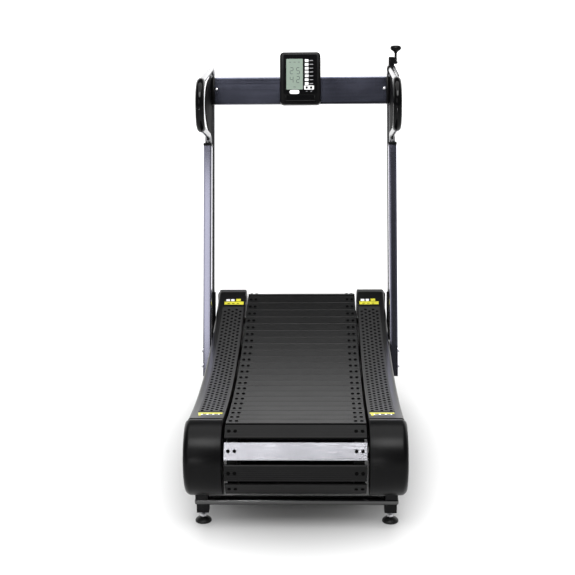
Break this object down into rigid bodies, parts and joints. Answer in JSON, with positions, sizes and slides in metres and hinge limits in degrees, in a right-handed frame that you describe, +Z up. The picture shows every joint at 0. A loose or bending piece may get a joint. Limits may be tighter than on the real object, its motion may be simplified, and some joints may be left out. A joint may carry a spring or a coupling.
{
  "type": "curved manual treadmill",
  "caption": "Curved manual treadmill with a slatted running belt on two drums, looped handles, a crossbar console and a magnetic brake lever.",
  "frame": {"origin": "on the floor, midway between the two drum axles and on the belt's centre line", "axes": "+Z up; +Y forward, the way the runner faces, from the low end to the high end; +X to the runner's right, the side of the resistance lever"},
  "size_m": [0.7912, 1.551, 1.4708],
  "materials": {
    "polished_alloy": "polished",
    "belt_rubber": "satin",
    "frame_black": "satin powder coat",
    "cover_black": "satin moulding",
    "screen_green_grey": "lens over a segment display",
    "crossbar_brushed": "dark blue-grey anodised look, brushed along its length",
    "bright_steel": "bright zinc",
    "grip_foam": "smooth foam",
    "satin_chrome": "satin chrome",
    "post_anodised": "dark anodised, lengthwise grain",
    "button_white": "white key cap",
    "slat_charcoal": "charcoal tread, finely ribbed"
  },
  "bodies": {
    "frame": {"brake_cable": "belt_rubber", "console_bracket": "frame_black", "console_housing": "cover_black", "console_screen": "screen_green_grey", "crossbar": "crossbar_brushed", "front_cross_tube": "frame_black", "front_middle_tube": "frame_black", "left_crossbar_block": "cover_black", "left_foot_rail": "cover_black", "left_front_bearing": "frame_black", "left_front_cap": "cover_black", "left_grip": "grip_foam", "left_gusset": "frame_black", "left_handle_socket": "cover_black", "left_handle_tube": "satin_chrome", "left_post": "post_anodised", "left_post_bolts": "bright_steel", "left_post_collar": "cover_black", "left_rear_bearing": "frame_black", "left_rear_cap": "cover_black", "left_roller_bank": "frame_black", "left_side_frame": "frame_black", "lever_bracket": "cover_black", "rear_cross_tube": "frame_black", "rear_middle_tube": "frame_black", "right_crossbar_block": "cover_black", "right_foot_rail": "cover_black", "right_front_bearing": "frame_black", "right_front_cap": "cover_black", "right_grip": "grip_foam", "right_gusset": "frame_black", "right_handle_socket": "cover_black", "right_handle_tube": "satin_chrome", "right_post": "post_anodised", "right_post_bolts": "bright_steel", "right_post_collar": "cover_black", "right_rear_bearing": "frame_black", "right_rear_cap": "cover_black", "right_roller_bank": "frame_black", "right_side_frame": "frame_black"},
    "deck_run": {"slat_belt_top": "slat_charcoal"},
    "front_drum": {"front_drum": "frame_black", "brake_disc": "polished_alloy", "slat_belt_front": "slat_charcoal"},
    "rear_drum": {"rear_drum": "frame_black", "slat_belt_rear": "slat_charcoal", "accent_slat": "polished_alloy"},
    "return_run": {"slat_belt_bottom": "slat_charcoal"},
    "lever": {"resistance_lever": "frame_black", "lever_knob": "cover_black"},
    "magnets": {"magnet_carrier": "bright_steel"},
    "start_key": {"start_button": "button_white"},
    "minus_key": {"minus_button": "button_white"},
    "plus_key": {"plus_button": "button_white"},
    "left_front_foot": {"left_front_foot": "bright_steel"},
    "left_rear_foot": {"left_rear_foot": "bright_steel"},
    "left_wheel": {"left_transport_wheel": "belt_rubber"},
    "right_front_foot": {"right_front_foot": "bright_steel"},
    "right_rear_foot": {"right_rear_foot": "bright_steel"},
    "right_wheel": {"right_transport_wheel": "belt_rubber"}
  },
  "joints": [
    {"name": "deck_run_travel", "type": "hinge", "parent": "frame", "child": "deck_run", "pos_m": [0, -0.22982, 3.29935], "axis": [1, 0, 0], "range_deg": [-0.57, 0.57]},
    {"name": "front_drum_spin", "type": "hinge", "parent": "frame", "child": "front_drum", "pos_m": [0, 0.65, 0.331], "axis": [1, 0, 0], "range_deg": [-17.9, 17.9]},
    {"name": "rear_drum_spin", "type": "hinge", "parent": "frame", "child": "rear_drum", "pos_m": [0, -0.65, 0.232], "axis": [1, 0, 0], "range_deg": [-17.9, 17.9]},
    {"name": "return_run_travel", "type": "hinge", "parent": "frame", "child": "return_run", "pos_m": [0, -0.52191, 7.13481], "axis": [1, 0, 0], "range_deg": [-0.25, 0.25]},
    {"name": "lever_tilt", "type": "hinge", "parent": "frame", "child": "lever", "pos_m": [0.3655, 0.63828, 1.40379], "axis": [1, 0, 0], "range_deg": [-30, 30]},
    {"name": "magnet_swing", "type": "hinge", "parent": "frame", "child": "magnets", "pos_m": [0.263, 0.545, 0.366], "axis": [1, 0, 0], "range_deg": [-11, 11]},
    {"name": "start_key_press", "type": "slide", "parent": "frame", "child": "start_key", "axis": [0, 0.9648, -0.2629], "range_m": [0, 0.0015], "stiffness_N_per_m": 300},
    {"name": "minus_key_press", "type": "slide", "parent": "frame", "child": "minus_key", "axis": [0, 0.9648, -0.2629], "range_m": [0, 0.0015], "stiffness_N_per_m": 300},
    {"name": "plus_key_press", "type": "slide", "parent": "frame", "child": "plus_key", "axis": [0, 0.9648, -0.2629], "range_m": [0, 0.0015], "stiffness_N_per_m": 300},
    {"name": "left_front_foot_height", "type": "slide", "parent": "frame", "child": "left_front_foot", "axis": [0, 0, 1], "range_m": [-0.008, 0.008]},
    {"name": "left_rear_foot_height", "type": "slide", "parent": "frame", "child": "left_rear_foot", "axis": [0, 0, 1], "range_m": [-0.008, 0.008]},
    {"name": "left_wheel_roll", "type": "hinge", "parent": "frame", "child": "left_wheel", "pos_m": [-0.25, 0.682, 0.036], "axis": [1, 0, 0], "continuous": true},
    {"name": "right_front_foot_height", "type": "slide", "parent": "frame", "child": "right_front_foot", "axis": [0, 0, 1], "range_m": [-0.008, 0.008]},
    {"name": "right_rear_foot_height", "type": "slide", "parent": "frame", "child": "right_rear_foot", "axis": [0, 0, 1], "range_m": [-0.008, 0.008]},
    {"name": "right_wheel_roll", "type": "hinge", "parent": "frame", "child": "right_wheel", "pos_m": [0.25, 0.682, 0.036], "axis": [1, 0, 0], "continuous": true}
  ],
  "couplings": [
    {"joint": "front_drum_spin", "follows": "deck_run_travel", "ratio": -31.25},
    {"joint": "rear_drum_spin", "follows": "deck_run_travel", "ratio": -31.25},
    {"joint": "return_run_travel", "follows": "deck_run_travel", "ratio": -0.42857},
    {"joint": "magnet_swing", "follows": "lever_tilt", "ratio": 0.35}
  ]
}
